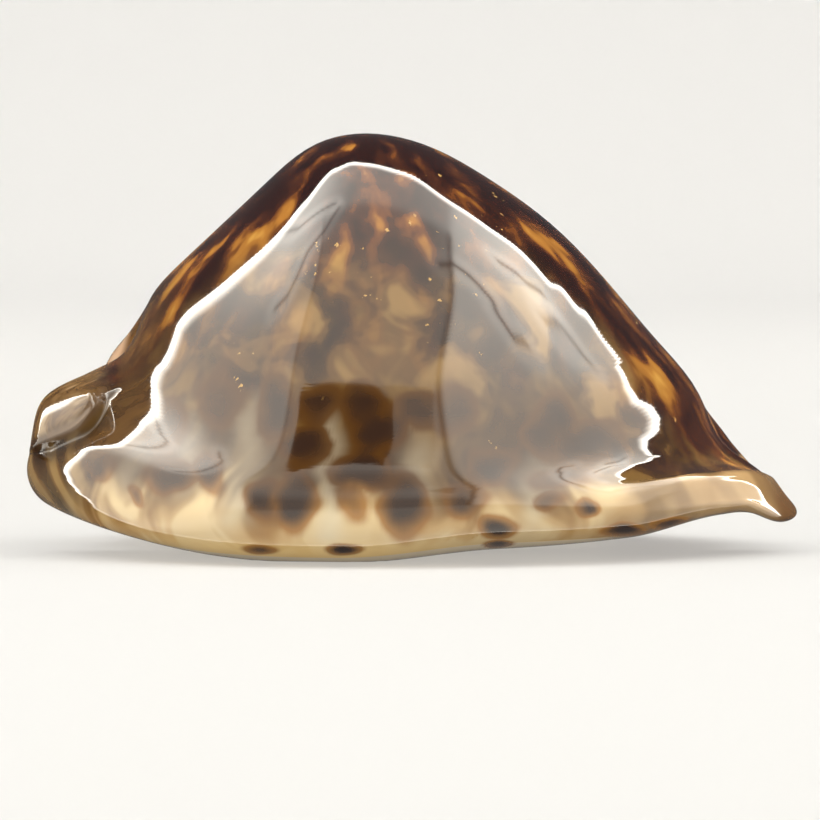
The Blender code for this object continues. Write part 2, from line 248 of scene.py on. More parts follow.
def smooth_step(low, high, value):
    share = np.clip((value - low) / (high - low), 0, 1)
    return share * share * (3 - 2 * share)


def bell(value, middle, width):
    return np.exp(-(((value - middle) / width) ** 2))


def slit_line(x):
    """Sideways place of the slit's middle: nearest the outer lip below the hump."""
    toward_back = np.clip((x + 4.0) / -22.0, 0.0, None)
    toward_front = np.clip((x + 4.0) / 30.0, 0.0, None)
    return -2.3 + 3.4 * toward_back**2 + 1.6 * toward_front**2


def base_rise(x, on_lip):
    """How far the base lifts off the ground toward the front, more on the outer-lip side."""
    lip = 1.0 * smooth_step(-5.5, 6.5, x) + 0.75 * smooth_step(16.5, 23.5, x)
    inner = 0.8 * smooth_step(10.0, 22.0, x)
    beak = 1 - smooth_step(25.2, 28.8, x)
    return (inner + on_lip * (lip - inner)) * beak


def ring(shape, angles):
    """The points of one contour. Angle 0 is the front and 90 degrees the outer-lip side."""
    ahead = np.cos(angles)
    aside = np.sin(angles)
    endness = np.abs(ahead)
    on_lip = 0.5 + 0.5 * np.sin(aside * math.pi / 2)
    in_front = 0.5 + 0.5 * np.sin(ahead * math.pi / 2)

    def across(lip, inner):
        return inner + on_lip * (lip - inner)

    narrowed = 1 - shape["taper"][0] * np.clip(ahead, 0, None) ** shape["power"]
    narrowed -= shape["taper"][1] * np.clip(-ahead, 0, None) ** 3
    offset = aside * across(shape["lip"][0], shape["inner"][0]) * narrowed
    in_notch = bell(offset, 0.0, NOTCH_HALF_WIDTH)
    side_z = across(shape["lip"][1], shape["inner"][1])

    x = np.full_like(angles, HUMP_X)
    z = side_z.copy()
    for key, share, here in (
        ("front", in_front, ahead > 0),
        ("back", in_front - 1, ahead <= 0),
    ):
        lip_lobe, inner_lobe = shape[key + "_lip"], shape[key + "_inner"]
        lobe_x = np.where(aside > 0, lip_lobe[0], inner_lobe[0])
        lobe_z = np.where(aside > 0, lip_lobe[1], inner_lobe[1])
        end_x = lobe_x + (shape[key][0] - lobe_x) * in_notch
        x += share * (end_x - HUMP_X) * ahead
        z += here * (lobe_z - side_z) * endness**3
        z += here * (shape[key][1] - lobe_z) * in_notch * endness**8
    z += shape["low"] * base_rise(x, on_lip) * (1 - in_notch * endness**8)
    y = shape["slit"] * slit_line(x) - offset
    return np.stack([x, y, z], axis=1)


def spline_weights(knots, places):
    """Weights that turn values at the knots into a natural cubic spline's values at places."""
    count = len(knots)
    gaps = np.diff(knots)
    left, right = np.eye(count), np.zeros((count, count))
    for i in range(1, count - 1):
        left[i, i - 1 : i + 2] = gaps[i - 1], 2 * (gaps[i - 1] + gaps[i]), gaps[i]
        right[i, i - 1 : i + 2] = (
            6 / gaps[i - 1],
            -6 / gaps[i - 1] - 6 / gaps[i],
            6 / gaps[i],
        )
    bends = np.linalg.solve(left, right)
    span = np.clip(np.searchsorted(knots, places, side="right") - 1, 0, count - 2)
    gap = gaps[span]
    after = (places - knots[span]) / gap
    before = 1 - after
    values = np.zeros((len(places), count))
    rows = np.arange(len(places))
    values[rows, span] = before
    values[rows, span + 1] = after
    values += ((before**3 - before) * gap**2 / 6)[:, None] * bends[span]
    values += ((after**3 - after) * gap**2 / 6)[:, None] * bends[span + 1]
    return values


def ring_angles(ring_points):
    """Angles of the points of a ring, closest together at the ear."""
    turn = np.linspace(-180.0, 180.0, 1441)
    closeness = 1 + EAR_GAIN * bell(turn, EAR_TURN, EAR_SPREAD)
    closeness += EAR_GAIN * bell(turn + 360.0, EAR_TURN, EAR_SPREAD)
    so_far = np.concatenate([[0.0], np.cumsum((closeness[1:] + closeness[:-1]) / 2)])
    wanted = np.arange(ring_points) * so_far[-1] / ring_points
    return np.radians(np.interp(wanted, so_far, turn))


def shell_grid(shapes, angles, levels):
    """Rows of ring points at the given contour numbers, from the hump top to the roof top."""
    rings = np.stack([ring(shape, angles) for shape in shapes])
    # The rings next to each pole go on past it, on the far side, so the poles stay smooth.
    beyond_top = np.stack([ring(shape, angles + math.pi) for shape in shapes[2:0:-1]])
    beyond_roof = np.stack([ring(shape, angles + math.pi) for shape in shapes[-2:-4:-1]])
    keys = np.concatenate([beyond_top, rings, beyond_roof])
    steps = np.linalg.norm(np.diff(keys, axis=0), axis=2).mean(axis=1)
    knots = np.concatenate([[0.0], np.cumsum(steps)])
    places = np.interp(levels + 2, np.arange(len(keys)), knots)
    weights = spline_weights(knots, places)
    return np.einsum("rk,kpc->rpc", weights, keys)


def grid_normals(grid):
    along = np.roll(grid, -1, axis=1) - np.roll(grid, 1, axis=1)
    down = np.gradient(grid, axis=0)
    normals = np.cross(along, down)
    return normals / np.maximum(np.linalg.norm(normals, axis=2, keepdims=True), 1e-9)


def inside_ear(x, z):
    """Distance in from the ear's lower edge, an arc that runs on straight toward the back."""
    from_x, from_z = x - EAR_CENTRE[0], z - EAR_CENTRE[1]
    along = from_x * EAR_TANGENT[0] + from_z * EAR_TANGENT[1]
    straight = from_z * EAR_TANGENT[0] - from_x * EAR_TANGENT[1]
    return EAR_RADIUS - np.where(along > 0, straight, np.hypot(from_x, from_z))


def flatten_ear(grid):
    """Brings the back lobe on the outer-lip side forward to a nearly flat, tilted face."""
    x, y, z = grid[:, :, 0], grid[:, :, 1], grid[:, :, 2]
    face = -9.4 - 0.8 * (x + 26.0) + 0.55 * (z - 9.6) + 0.14 * np.clip(z - 12.0, 0, None) ** 2
    behind = y - face
    forward = 0.5 * (behind + np.sqrt(behind**2 + 0.1))
    forward = EAR_FORWARD * np.tanh(forward / EAR_FORWARD)
    share = (1 - smooth_step(-2.4, -0.8, y)) * (1 - smooth_step(-23.8, -22.8, x))
    share *= 1 - smooth_step(13.8, 15.4, z + 0.20 * (x + 26.0))
    share *= smooth_step(-0.1, 0.6 + 2.0 * smooth_step(11.5, 14.0, z), inside_ear(x, z))
    moved = grid.copy()
    moved[:, :, 1] -= forward * share
    return moved


def raise_ear(grid):
    """Shapes the ear, the upturned lobe of the outer lip beside the back notch.

    Its lower edge is two low steps, and a channel runs along below them.
    """
    x, y, z = grid[:, :, 0], grid[:, :, 1], grid[:, :, 2]
    inside = inside_ear(x, z)
    here = (1 - smooth_step(-2.2, -0.8, y)) * smooth_step(-30.0, -28.4, x)
    height = EAR_STEPS[0] * smooth_step(0.0, 0.4, inside)
    height += EAR_STEPS[1] * smooth_step(0.6, 1.0, inside) * (1 - smooth_step(1.2, 3.6, inside))
    height *= (1 - smooth_step(12.2, 14.2, z)) * smooth_step(7.6, 8.8, z)
    channel = np.clip(1 + inside / CHANNEL_WIDTH, 0, 1) ** 2 * (1 - smooth_step(0.0, 0.4, inside))
    channel *= (1 - smooth_step(10.4, 13.2, z)) * smooth_step(6.0, 9.4, z)
    height -= CHANNEL_DEPTH * channel
    flat = flatten_ear(grid)
    return flat + grid_normals(grid) * (height * here)[:, :, None]


def flange_level(levels, x):
    """Contour numbers beside the flange, whose edge drops by 0.4 of a contour at its tip."""
    return levels[:, None] - 0.4 * smooth_step(26.0, 29.5, x)


def raise_flange(grid, levels):
    """Sharpens the top edge of the front beak's flange on the outer-lip side."""
    x, y = grid[:, :, 0], grid[:, :, 1]
    below = flange_level(levels, x) - UPPER_MARGIN
    raised = smooth_step(-0.25, 0.15, below) * (1 - smooth_step(0.2, 1.9, below))
    here = smooth_step(14.5, 21.0, x) * (1 - 0.6 * smooth_step(25.5, 29.0, x))
    here *= 1 - smooth_step(-3.5, -2.0, y)
    return grid + grid_normals(grid) * (FLANGE_HEIGHT * raised * here)[:, :, None]


def raise_callus(grid):
    """Swells the callus that covers the spire, on the columella side of the back notch."""
    away = np.linalg.norm(grid - np.array(CALLUS_CENTRE), axis=2)
    height = CALLUS_HEIGHT * bell(away, 0.0, CALLUS_RADIUS)
    return grid + grid_normals(grid) * height[:, :, None]


def add_teeth(grid, angles, levels, shapes):
    """Raises the teeth, rounded ridges that run from the base over each lip into the slit."""
    names = [shape["name"] for shape in shapes]
    crest, throat = names.index("lip crest"), names.index("throat")
    normals = grid_normals(grid)
    on_lip = (np.sin(angles) > 0)[None, :]
    x = grid[:, :, 0]
    pitch = np.where(on_lip, LIP_TOOTH_PITCH, INNER_TOOTH_PITCH)
    ridge = (0.5 + 0.5 * np.cos(2 * math.pi * x / pitch)) ** 0.8
    starts = np.where(on_lip, crest - 0.8, crest - 0.35)
    level = levels[:, None]
    across = smooth_step(starts, crest, level)
    across *= 1 - smooth_step(throat - 0.5, throat + 0.4, level)
    along = smooth_step(-23.5, -20.0, x) * (1 - smooth_step(21.5, 24.5, x))
    height = TOOTH_HEIGHT * across * along * (ridge - 0.4)
    return grid + normals * height[:, :, None]


def row_levels(shapes):
    """Contour numbers of the mesh's rows, closer where the form is finer."""
    counts = [ROWS["back"]] * (len(back_contours()) - 1) + [ROWS["valley"]]
    counts += [ROWS["margin"]] * len(margin_contours()) + [ROWS["base"]] * len(base_contours())
    counts += [ROWS["hollow"]] * (len(shapes) - 1 - len(counts))
    steps = [np.linspace(i, i + 1, n, endpoint=False) for i, n in enumerate(counts)]
    return np.concatenate(steps + [[float(len(shapes) - 1)]])


def settle(grid):
    """Centres the shell over the origin, with its flat spot at the ground."""
    low, high = grid.min(axis=(0, 1)), grid.max(axis=(0, 1))
    moved = grid - np.array([(low[0] + high[0]) / 2, (low[1] + high[1]) / 2, low[2] + REST_CUT])
    moved[:, :, 2] = np.maximum(moved[:, :, 2], 0.0)
    return moved


def put_values(mesh, name, values):
    """Keeps a number or a vector at each point of the mesh."""
    kind, field = ("FLOAT", "value") if values.ndim == 1 else ("FLOAT_VECTOR", "vector")
    data = mesh.attributes.new(name, kind, "POINT").data
    data.foreach_set(field, values.astype(np.float32).ravel())


def add_object(name, data):
    thing = bpy.data.objects.new(name, data)
    bpy.context.scene.collection.objects.link(thing)
    return thing


def grid_mesh(name, grid, features):
    """A closed mesh from the rows, with each feature as a value at every point."""
    rows, count = grid.shape[:2]

    def flat(values):
        body = values[1:-1].reshape(-1, *values.shape[2:])
        return np.concatenate([values[0, :1], body, values[-1, :1]])

    points = flat(grid) * MM
    last = len(points) - 1
    p = np.arange(count)
    q = (p + 1) % count
    tops = np.stack([np.zeros_like(p), 1 + q, 1 + p], axis=1)
    ends = np.stack([np.full_like(p, last), last - count + p, last - count + q], axis=1)
    r = 1 + np.arange(rows - 3)[:, None] * count
    quads = np.stack([r + p, r + q, r + count + q, r + count + p], axis=2).reshape(-1, 4)
    mesh = bpy.data.meshes.new(name)
    mesh.from_pydata(points.tolist(), [], tops.tolist() + ends.tolist() + quads.tolist())
    for key, values in features.items():
        put_values(mesh, key, flat(values))
    mesh.update()
    mesh.shade_smooth()
    return mesh


# Markings

# Soft dark spots on the outer-lip side: x, height, width, height of the spot, strength
SPOTS_SEEN = [
    (-20.9, 5.1, 0.9, 1.0, 0.6), (-18.3, 6.8, 2.9, 2.0, 0.8), (-15.4, 6.9, 1.9, 2.1, 0.8),
    (-11.3, 4.9, 2.1, 2.3, 0.9), (-8.8, 5.0, 2.2, 3.4, 1.0), (-3.9, 7.3, 3.2, 2.2, 1.0),
    (-4.5, 5.0, 2.2, 2.3, 0.5), (-0.6, 4.7, 2.5, 3.9, 1.0), (-8.1, 9.0, 2.5, 2.2, 1.0),
    (-7.0, 12.2, 2.5, 2.0, 0.9), (-3.8, 12.4, 2.8, 2.0, 0.9), (-2.6, 10.1, 2.8, 2.5, 1.0),
    (-10.3, 12.0, 2.1, 3.4, 0.9), (-5.1, 1.3, 1.9, 0.7, 1.0), (-11.5, 1.2, 1.9, 0.6, 0.7),
    (6.5, 2.9, 2.0, 1.3, 1.0), (6.0, 7.4, 2.8, 2.2, 0.9), (10.4, 4.9, 1.7, 1.4, 0.6),
    (13.2, 4.4, 1.2, 1.0, 0.9), (4.0, 5.0, 2.2, 2.2, 0.8), (10.8, 11.0, 2.5, 2.5, 0.9),
    (13.4, 9.2, 4.2, 2.5, 1.0), (10.0, 9.5, 2.8, 2.2, 0.8), (15.7, 8.3, 1.7, 1.7, 0.9),
    (3.2, 11.8, 2.6, 3.2, 0.7), (6.6, 1.5, 1.6, 0.6, 0.9), (16.1, 2.4, 2.6, 0.8, 1.0),
    (-19.0, 10.2, 2.5, 3.2, 0.7), (-14.5, 12.2, 2.7, 3.2, 0.6), (-23.6, 7.3, 2.0, 1.7, 0.7),
    (11.6, 6.7, 4.2, 1.4, 0.6), (0.6, 11.7, 3.6, 1.7, 0.8), (19.6, 2.9, 2.0, 0.8, 0.8),
]
# Pale columns between them: x at the bottom and at the top, bottom, top, width, strength
COLUMNS_SEEN = [
    (-6.2, -6.2, 1.0, 12.4, 1.7, 1.0), (0.4, 0.5, 5.0, 10.4, 1.9, 1.0),
    (-13.8, -11.8, 2.6, 12.6, 2.2, 0.8), (-17.2, -16.6, 5.0, 12.0, 1.4, 0.5),
    (9.0, 9.6, 3.0, 8.2, 1.8, 0.8), (-21.8, -20.8, 5.0, 10.0, 1.6, 0.6),
]
# Rows of spots on the columella side: height, gap between spots, size
FAR_ROWS = ((11.0, 4.6, 2.8), (7.6, 4.0, 2.6), (4.6, 3.4, 2.4), (1.5, 4.4, 1.4))
# Height of the cream's top edge, how softly it fades, and its value on the whole base
CREAM_TOP = 5.6
CREAM_FADE = 2.6
CREAM_ON_BASE = 3.0
# The (x, z) round which the rolled back end's stripes run, and how far apart they are
ROLL_CENTRE = (-21.0, 8.4)
STRIPE_PITCH = 1.9


def wander(grid):
    """Sideways and upward shifts that make the drawn marks uneven."""
    x, y, z = grid[:, :, 0], grid[:, :, 1], grid[:, :, 2]
    right = 0.28 * np.sin(1.2 * z + 0.9 * x + 0.4 * y) + 0.07 * np.sin(3.3 * z - 2.1 * x)
    up = 0.28 * np.sin(1.1 * x - 0.8 * z + 2.0) + 0.07 * np.sin(3.1 * x + 1.9 * z)
    amount = 0.25 + 0.75 * smooth_step(1.5, 5.0, z)
    return x + right * amount, z + up * amount


def soft_spot(x, z, spot):
    wide, high = spot[2] / 2, spot[3] / 2
    away = np.sqrt(((x - spot[0]) / wide) ** 2 + ((z - spot[1]) / high) ** 2)
    return spot[4] * (1 - smooth_step(0.1, 2.0, away))


def soft_column(x, z, column):
    low_x, high_x, low_z, high_z, wide, strength = column
    middle = low_x + (high_x - low_x) * (z - low_z) / (high_z - low_z)
    inside = bell(x, middle, 0.6 * wide) * smooth_step(low_z - 1.5, low_z + 1.5, z)
    return strength * inside * (1 - smooth_step(high_z - 2.5, high_z + 1.5, z))


def far_marks():
    """Spots and columns for the columella side, which the photo doesn't show."""
    rng = np.random.default_rng(11)
    spots, columns = [], []
    for row, (height, gap, size) in enumerate(FAR_ROWS):
        for x in np.arange(-22.0 + 1.3 * row, 19.0, gap):
            place = (x + rng.uniform(-1.2, 1.2), height + rng.uniform(-1.0, 1.0))
            shape = (size * rng.uniform(0.7, 1.2), size * rng.uniform(0.6, 1.1))
            spots.append((*place, *shape, rng.uniform(0.4, 1.0)))
    for x in np.arange(-18.0, 14.0, 5.1):
        x += rng.uniform(-1.0, 1.0)
        columns.append((x, x + rng.uniform(-0.8, 0.8), 2.0, rng.uniform(8.0, 12.0), 1.6, 0.8))
    return spots, columns


def mark_fields(grid, levels):
    """How much of a spot and of a pale column each point has."""
    x, z = wander(grid)
    y = grid[:, :, 1]
    outside = levels[:, None] < BASE
    far_spots, far_columns = far_marks()
    spots, columns = np.zeros(x.shape), np.zeros(x.shape)
    for share, spot_list, column_list in (
        ((1 - smooth_step(-6.0, -2.0, y)) * outside, SPOTS_SEEN, COLUMNS_SEEN),
        (smooth_step(2.0, 5.0, y) * outside, far_spots, far_columns),
    ):
        for spot in spot_list:
            spots = np.maximum(spots, soft_spot(x, z, spot) * share)
        for column in column_list:
            columns = np.maximum(columns, soft_column(x, z, column) * share)
    return spots, columns


def zone_fields(grid, levels):
    """Where each of the shell's zones of colour lies, and where shade is painted below the ear, as
    values on the points.
    """
    x, y, z = grid[:, :, 0], grid[:, :, 1], grid[:, :, 2]
    level = levels[:, None]
    on_flange = smooth_step(13.0, 18.0, x)
    below_edge = (flange_level(levels, x) - UPPER_MARGIN - 0.05) / 0.22
    cream = (1 - on_flange) * (CREAM_TOP - z) / CREAM_FADE
    cream += on_flange * np.clip(below_edge, -1.5, 1.5)
    cream = np.where(level < OUTER_BASE, cream, CREAM_ON_BASE)
    side_top = 13.0 - 7.0 * smooth_step(12.0, 19.0, x) - 1.5 * smooth_step(-17.0, -21.0, x)
    inside = inside_ear(x, z)
    past_rim = smooth_step(0.6, 1.0, inside)
    on_ear = (1 - smooth_step(-2.6, -1.2, y)) * (1 - smooth_step(-24.2, -22.8, x))
    on_ear *= level < OUTER_BASE
    on_roll = (1 - smooth_step(-27.2, -24.0, x)) * (level < BASE)
    # Painted shade: the channel below the ear's lower edge, toward the back end, is darkened in
    # colour
    painted_shade_area = (1 - smooth_step(-21.0, -17.5, x)) * smooth_step(6.4, 9.0, z)
    from_callus = np.linalg.norm(grid - np.array(CALLUS_CENTRE), axis=2) / CALLUS_RADIUS
    return {
        "cream": cream,
        "side": (side_top - z) / 3.2,
        "flank": smooth_step(6.0, 9.5, np.abs(y)) * (1 - smooth_step(20.0, 26.0, z)),
        "ear": past_rim * on_ear,
        "rim": smooth_step(-0.2, 0.1, inside) * (1 - past_rim) * on_ear,
        "roll": (1 - smooth_step(-0.4, 0.0, inside)) * on_roll,
        "wrap": np.hypot(x - ROLL_CENTRE[0], z - ROLL_CENTRE[1]),
        "callus": 1 - smooth_step(1.35, 1.85, from_callus),
        "painted_shade": smooth_step(0.2, 1.0, -inside) * painted_shade_area,
        "tip": smooth_step(26.6, 29.0, x),
        "flange": on_flange,
    }


def growth_space(grid, angles):
    """Coordinates that follow the growth: round the shell, and slowly down it."""
    steps = np.linalg.norm(np.diff(grid, axis=0), axis=2)
    down = np.concatenate([np.zeros((1, grid.shape[1])), np.cumsum(steps, axis=0)])
    radius = 17.0 * (np.clip(down, 0.01, None) / 26.0) ** 0.5
    grown = np.stack([radius * np.cos(angles), radius * np.sin(angles), down * 0.36], axis=2)
    return grown, down


# Materials

# Colours in linear light. A ramp is (place, colour) stops, and a pair is two that mottle
BACK_RAMP = (
    (0.37, (0.014, 0.0035, 0.0025)),
    (0.47, (0.036, 0.0100, 0.0045)),
    (0.54, (0.100, 0.0310, 0.0070)),
    (0.62, (0.260, 0.1080, 0.0170)),
    (0.73, (0.400, 0.2100, 0.0400)),
)
FLANK_RAMP = (
    (0.38, (0.026, 0.0130, 0.0080)),
    (0.48, (0.050, 0.0250, 0.0095)),
    (0.54, (0.110, 0.0570, 0.0180)),
    (0.66, (0.230, 0.1350, 0.0450)),
)
SIDE_RAMP = (
    (0.36, (0.038, 0.0165, 0.0055)),
    (0.50, (0.068, 0.0330, 0.0090)),
    (0.64, (0.125, 0.0680, 0.0190)),
)
CREAM_RAMP = (
    (0.34, (0.360, 0.190, 0.050)),
    (0.48, (0.490, 0.320, 0.135)),
    (0.60, (0.600, 0.450, 0.240)),
)
ROLL_RAMP = (
    (0.02, (0.040, 0.0190, 0.0085)),
    (0.50, (0.100, 0.0500, 0.0160)),
    (1.00, (0.210, 0.1300, 0.0500)),
)
EAR_RAMP = (
    (0.38, (0.075, 0.036, 0.011)),
    (0.52, (0.130, 0.072, 0.026)),
    (0.64, (0.230, 0.155, 0.080)),
)
# Painted shade: the dark colours put into the channel below the ear
PAINTED_SHADE_PAIR = ((0.040, 0.0180, 0.0065), (0.085, 0.0420, 0.0130))
RIM_PAIR = ((0.045, 0.023, 0.011), (0.130, 0.075, 0.036))
FLANGE_PAIR = ((0.130, 0.068, 0.028), (0.300, 0.190, 0.090))
COLUMN_ON_SIDE = (0.210, 0.165, 0.110)
COLUMN_ON_CREAM = (0.60, 0.50, 0.33)
# The lower band's own golden cream, made brighter as painted light standing in for light from below
GOLDEN_CREAM_WITH_PAINTED_LIGHT = (0.860, 0.600, 0.230)
IVORY = (0.700, 0.590, 0.420)
FRINGE_ON_SIDE = (0.070, 0.0280, 0.0060)
FRINGE_ON_CREAM = (0.310, 0.135, 0.022)
SPOT_COLOUR = (0.027, 0.0130, 0.0080)
TIP_COLOUR = (0.095, 0.040, 0.012)
CALLUS_COLOUR = (0.420, 0.270, 0.170)
FLECK_COLOUR = (0.480, 0.290, 0.090)

# Shine, and the growth lines: their pitch in millimetres and their depth in metres
SHELL_ROUGHNESS = 0.045
SHELL_IOR = 1.7
GROWTH_LINE_PITCH = 0.32
GROWTH_LINE_STRENGTH = 0.016
GROWTH_LINE_DEPTH = 0.00001
FLOOR_ROUGHNESS = 0.7


class Nodes:
    """Short way to write a node tree."""

    def __init__(self, material):
        material.use_nodes = True
        self.tree = material.node_tree
        self.shader = self.tree.nodes["Principled BSDF"]

    def put(self, socket, value):
        """Links a socket to another node's output, or sets it to a value."""
        if isinstance(value, bpy.types.NodeSocket):
            self.tree.links.new(value, socket)
        else:
            socket.default_value = value

    def add(self, kind, out=0, **inputs):
        node = self.tree.nodes.new("ShaderNode" + kind)
        for key, value in inputs.items():
            self.put(node.inputs[key], value)
        return node.outputs[out]

    def math(self, operation, a, b=0.0):
        node = self.tree.nodes.new("ShaderNodeMath")
        node.operation = operation
        self.put(node.inputs[0], a)
        self.put(node.inputs[1], b)
        return node.outputs[0]

    def plus(self, a, b):
        return self.math("ADD", a, b)

    def times(self, a, b):
        return self.math("MULTIPLY", a, b)

    def place(self):
        """Places on the object itself, in metres."""
        return self.add("TexCoord", out="Object")

    def axis(self, vector, name):
        return self.add("SeparateXYZ", out=name, Vector=vector)

    def attribute(self, name, out="Fac"):
        node = self.tree.nodes.new("ShaderNodeAttribute")
        node.attribute_name = name
        return node.outputs[out]

    def noise(self, vector, scale, detail=2.0, roughness=0.5, distortion=0.0):
        return self.add(
            "TexNoise", Vector=vector, Scale=scale, Detail=detail, Roughness=roughness,
            Distortion=distortion,
        )

    def ramp(self, value, *stops):
        node = self.tree.nodes.new("ShaderNodeValToRGB")
        node.color_ramp.interpolation = "EASE"
        elements = node.color_ramp.elements
        for i, (place, colour) in enumerate(stops):
            element = elements[i] if i < 2 else elements.new(place)
            element.position = place
            element.color = (*colour, 1.0)
        self.put(node.inputs[0], value)
        return node.outputs[0]

    def span(self, value, low, high, to_low=0.0, to_high=1.0):
        """A smooth step from to_low at low to to_high at high."""
        node = self.tree.nodes.new("ShaderNodeMapRange")
        node.interpolation_type = "SMOOTHSTEP"
        for i, v in enumerate((value, low, high, to_low, to_high)):
            self.put(node.inputs[i], v)
        return node.outputs[0]

    def mix(self, share, a, b):
        """A mix of two colours, each a tuple or a socket: a where the share is 0, b where 1."""
        node = self.tree.nodes.new("ShaderNodeMix")
        node.data_type = "RGBA"
        self.put(node.inputs[0], share)
        for socket, value in ((node.inputs[6], a), (node.inputs[7], b)):
            self.put(socket, (*value, 1.0) if isinstance(value, tuple) else value)
        return node.outputs[2]


def back_colour(n, grown, down):
    """Golden streaks in dark red-brown, fewer near the top, and dark blotches on the flanks."""
    streaks = n.noise(grown, 0.42, 1.5, 0.45, 0.3)
    fine = n.noise(grown, 1.3, 1.0, 0.5, 0.2)
    mottle = n.plus(n.times(streaks, 0.88), n.times(fine, 0.12))
    mottle = n.math("SUBTRACT", mottle, n.span(down, 4.0, 18.0, 0.1, 0.0))
    place = n.place()
    ahead = n.axis(place, "X")
    darker = n.times(n.span(ahead, -0.002, 0.004), n.span(ahead, 0.012, 0.018, 0.05, 0.0))
    back = n.ramp(n.math("SUBTRACT", mottle, darker), *BACK_RAMP)
    flank = n.ramp(n.noise(place, 230.0, 2.5, 0.5, 0.4), *FLANK_RAMP)
    return n.mix(n.times(n.attribute("flank"), 0.8), back, flank)


def cream_colour(n, grown, soft, columns):
    """The cream of the lowest part, its golden lower band made brighter with painted light from
    below, the ivory base and the flange.
    """
    depth = n.attribute("cream")
    cream = n.mix(columns, n.ramp(soft, *CREAM_RAMP), COLUMN_ON_CREAM)
    # Golden lower band: its own colour, brightened as painted light from below
    cream = n.mix(n.span(depth, 1.2, 2.0, 0.0, 0.85), cream, GOLDEN_CREAM_WITH_PAINTED_LIGHT)
    cream = n.mix(n.span(depth, 2.05, 2.95, 0.0, 0.9), cream, IVORY)
    flange = n.mix(n.span(n.noise(grown, 0.34, 1.0), 0.36, 0.62), *FLANGE_PAIR)
    return n.mix(n.times(n.attribute("flange"), 0.85), cream, flange)


def back_end_colours(n, colour, grown, soft):
    """The ear, its layered rim, the rolled back end, painted shade in the channel below the ear,
    and the callus over the spire.
    """
    clouds = n.noise(grown, 0.55, 3.0, 0.55, 0.6)
    wrap = n.plus(n.attribute("wrap"), n.times(n.noise(n.place(), 160.0, 1.0), 2.6))
    stripes = n.math("SINE", n.times(wrap, 2 * math.pi / STRIPE_PITCH))
    roll = n.ramp(n.span(stripes, -1.0, 1.0), *ROLL_RAMP)
    colour = n.mix(n.times(n.attribute("roll"), 0.9), colour, roll)
    # Painted shade: darkens the channel below the ear
    painted_shade = n.mix(n.span(clouds, 0.4, 0.62), *PAINTED_SHADE_PAIR)
    colour = n.mix(n.times(n.attribute("painted_shade"), 0.8), colour, painted_shade)
    rim = n.mix(n.span(soft, 0.35, 0.65), *RIM_PAIR)
    colour = n.mix(n.attribute("rim"), colour, rim)
    colour = n.mix(n.attribute("ear"), colour, n.ramp(clouds, *EAR_RAMP))
    return n.mix(n.attribute("callus"), colour, CALLUS_COLOUR)


def fleck_share(n):
    """Where small golden flecks lie in the glaze: loose clusters high on each side."""
    place = n.place()
    off_middle = n.math("ABSOLUTE", n.plus(n.axis(place, "X"), 0.001))
    height = n.axis(place, "Z")
    high = n.times(n.span(height, 0.0180, 0.0205), n.span(height, 0.0250, 0.0275, 1.0, 0.0))
    high = n.times(high, n.span(off_middle, 0.0055, 0.0090, 1.0, 0.0))
    crowd = n.plus(n.noise(place, 330.0, 2.0), n.times(high, 0.15))
    ragged = n.times(n.noise(place, 4200.0, 2.0), 0.75)
    near = n.plus(n.add("TexVoronoi", Vector=place, Scale=900.0), ragged)
    fleck = n.span(near, 0.42, 0.52, 1.0, 0.0)
    return n.times(fleck, n.span(crowd, 0.60, 0.70))


def growth_lines(n, grown, down):
    """The very fine growth lines, which show in patches."""
    ripple = n.noise(grown, 3.2, 2.0, 0.5, 0.0)
    lines = n.times(down, 2 * math.pi / GROWTH_LINE_PITCH)
    wave = n.math("SINE", n.plus(lines, n.times(ripple, 5.0)))
    patches = n.span(n.noise(grown, 0.22, 1.0, 0.5, 0.0), 0.45, 0.65)
    return n.add(
        "Bump", Strength=GROWTH_LINE_STRENGTH, Distance=GROWTH_LINE_DEPTH,
        Height=n.times(wave, patches),
    )


def shell_material():
    material = bpy.data.materials.new("glossy shell")
    n = Nodes(material)
    grown = n.attribute("grown", "Vector")
    down = n.attribute("down")
    columns = n.attribute("columns")
    spots = n.attribute("spots")
    soft = n.noise(grown, 0.30, 2.0, 0.5, 0.6)
    wobble = n.times(n.math("SUBTRACT", soft, 0.5), 3.0)
    on_side = n.span(n.plus(n.attribute("side"), wobble), -0.6, 0.6)
    on_cream = n.span(n.plus(n.attribute("cream"), wobble), -0.7, 1.2)

    colour = n.mix(on_side, back_colour(n, grown, down), n.ramp(soft, *SIDE_RAMP))
    colour = n.mix(n.times(columns, 0.9), colour, COLUMN_ON_SIDE)
    colour = n.mix(on_cream, colour, cream_colour(n, grown, soft, columns))
    fringe = n.mix(on_cream, FRINGE_ON_SIDE, FRINGE_ON_CREAM)
    colour = n.mix(n.times(n.span(spots, 0.0, 0.30), 0.9), colour, fringe)
    colour = n.mix(n.span(spots, 0.16, 0.95), colour, SPOT_COLOUR)
    colour = n.mix(n.times(n.attribute("tip"), 0.85), colour, TIP_COLOUR)
    colour = back_end_colours(n, colour, grown, soft)
    colour = n.mix(n.times(fleck_share(n), 0.8), colour, FLECK_COLOUR)

    n.put(n.shader.inputs["Base Color"], colour)
    n.put(n.shader.inputs["Normal"], growth_lines(n, grown, down))
    n.shader.inputs["Roughness"].default_value = SHELL_ROUGHNESS
    n.shader.inputs["IOR"].default_value = SHELL_IOR
    return material


def floor_material():
    material = bpy.data.materials.new("pale floor")
    n = Nodes(material)
    behind = n.axis(n.place(), "Y")
    n.put(n.shader.inputs["Base Color"], n.mix(n.span(behind, 0.03, 0.60), FLOOR_NEAR, FLOOR_FAR))
    n.shader.inputs["Roughness"].default_value = FLOOR_ROUGHNESS
    n.shader.inputs["Emission Color"].default_value = FLOOR_GLOW_COLOUR
    n.shader.inputs["Emission Strength"].default_value = FLOOR_GLOW
    return material


